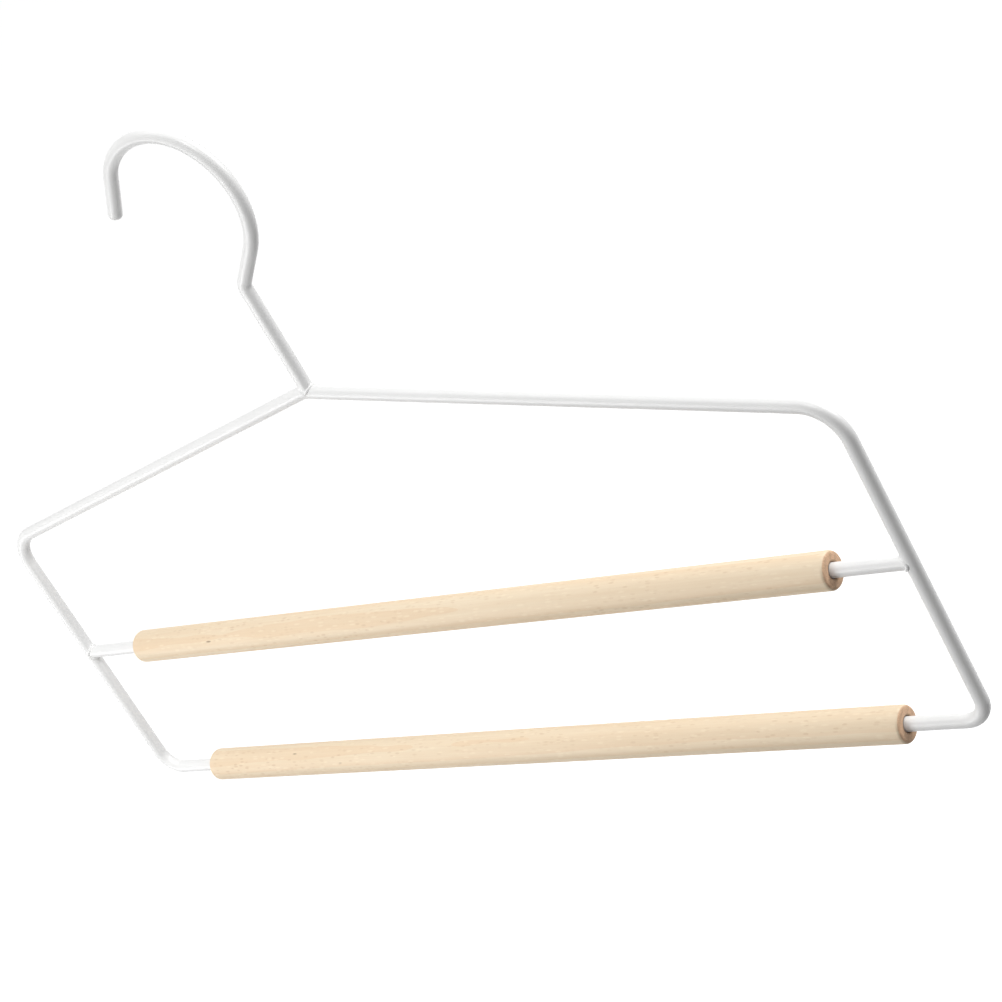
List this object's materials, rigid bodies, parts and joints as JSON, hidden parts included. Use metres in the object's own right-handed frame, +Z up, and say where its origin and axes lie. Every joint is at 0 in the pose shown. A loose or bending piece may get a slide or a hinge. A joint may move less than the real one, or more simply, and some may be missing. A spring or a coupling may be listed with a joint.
{
  "type": "trouser hanger",
  "caption": "Trouser hanger: a flat house-shaped frame of white coated wire with a swan-neck rail hook and wooden dowels that turn on wire pins between its sides.",
  "frame": {"origin": "highest point of the inside of the hook, on the wire's own middle plane, where the top of the rail touches it", "axes": "+X along the dowels, towards the side that the hook's stem stands on; +Y square to the flat of the frame; +Z up, from the dowels to the hook"},
  "size_m": [0.3687, 0.012, 0.2527],
  "materials": {
    "white_coat": "semi-gloss white powder coat over steel wire",
    "pale_beech": "sanded pale beech with a thin matt varnish"
  },
  "bodies": {
    "frame": {"frame_wire": "white_coat", "hook": "white_coat", "upper_left_pin": "white_coat", "upper_right_pin": "white_coat"},
    "upper_roller": {"upper_dowel": "pale_beech"},
    "lower_roller": {"lower_dowel": "pale_beech"}
  },
  "joints": [
    {"name": "upper_dowel_turn", "type": "hinge", "parent": "frame", "child": "upper_roller", "pos_m": [0.00535, 0, -0.1835], "axis": [1, 0, 0], "continuous": true},
    {"name": "lower_dowel_turn", "type": "hinge", "parent": "frame", "child": "lower_roller", "pos_m": [0.00535, 0, -0.242], "axis": [1, 0, 0], "continuous": true}
  ]
}
